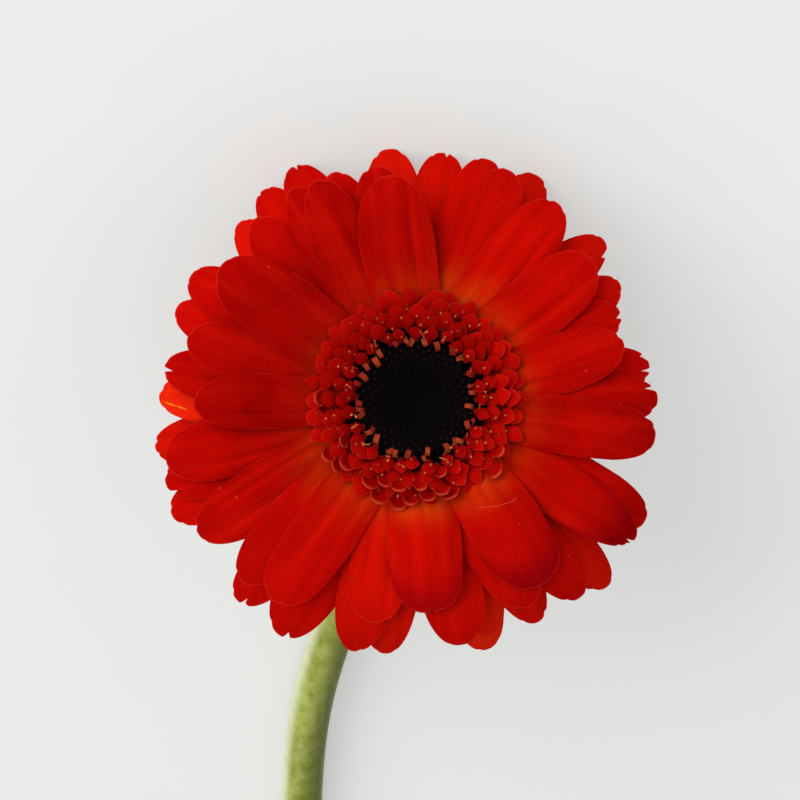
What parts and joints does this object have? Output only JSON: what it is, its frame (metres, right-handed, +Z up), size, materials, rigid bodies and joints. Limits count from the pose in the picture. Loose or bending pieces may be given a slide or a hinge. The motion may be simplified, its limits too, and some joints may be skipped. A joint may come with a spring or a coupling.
{
  "type": "cut gerbera",
  "caption": "Cut gerbera daisy lying on a table: a red flower head facing up on its leafless green stem.",
  "frame": {"origin": "on the table, under the middle of the whole lying flower", "axes": "+Z up from the table, +Y along the stem from its cut foot to the flower head, +X to the right of the head seen from the foot"},
  "size_m": [0.0804, 0.3376, 0.0561],
  "materials": {
    "ray": "velvety deep red petal, orange at its foot",
    "trans_floret": "small red ligules with pale salmon rims",
    "disc_floret": "near black closed buds",
    "receptacle": "pale green plant tissue",
    "bract": "downy green",
    "stem": "downy yellow-green"
  },
  "bodies": {
    "root": {"ray_01": "ray", "ray_02": "ray", "ray_03": "ray", "ray_04": "ray", "ray_05": "ray", "ray_06": "ray", "ray_07": "ray", "ray_08": "ray", "ray_09": "ray", "ray_10": "ray", "ray_11": "ray", "ray_12": "ray", "ray_13": "ray", "ray_14": "ray", "ray_15": "ray", "ray_16": "ray", "ray_17": "ray", "ray_18": "ray", "ray_19": "ray", "ray_20": "ray", "ray_21": "ray", "ray_22": "ray", "ray_23": "ray", "ray_24": "ray", "ray_25": "ray", "ray_26": "ray", "ray_27": "ray", "ray_28": "ray", "ray_29": "ray", "ray_30": "ray", "ray_31": "ray", "ray_32": "ray", "ray_33": "ray", "ray_34": "ray", "ray_35": "ray", "ray_36": "ray", "ray_37": "ray", "ray_38": "ray", "ray_39": "ray", "ray_40": "ray", "ray_41": "ray", "ray_42": "ray", "ray_43": "ray", "ray_44": "ray", "ray_45": "ray", "ray_46": "ray", "ray_47": "ray", "ray_48": "ray", "ray_49": "ray", "ray_50": "ray", "ray_51": "ray", "ray_52": "ray", "ray_53": "ray", "disc_florets": "disc_floret", "trans_florets_inner": "trans_floret", "trans_florets_outer": "trans_floret", "receptacle": "receptacle", "bracts_inner": "bract", "bracts_outer": "bract", "stem": "stem"}
  },
  "joints": []
}
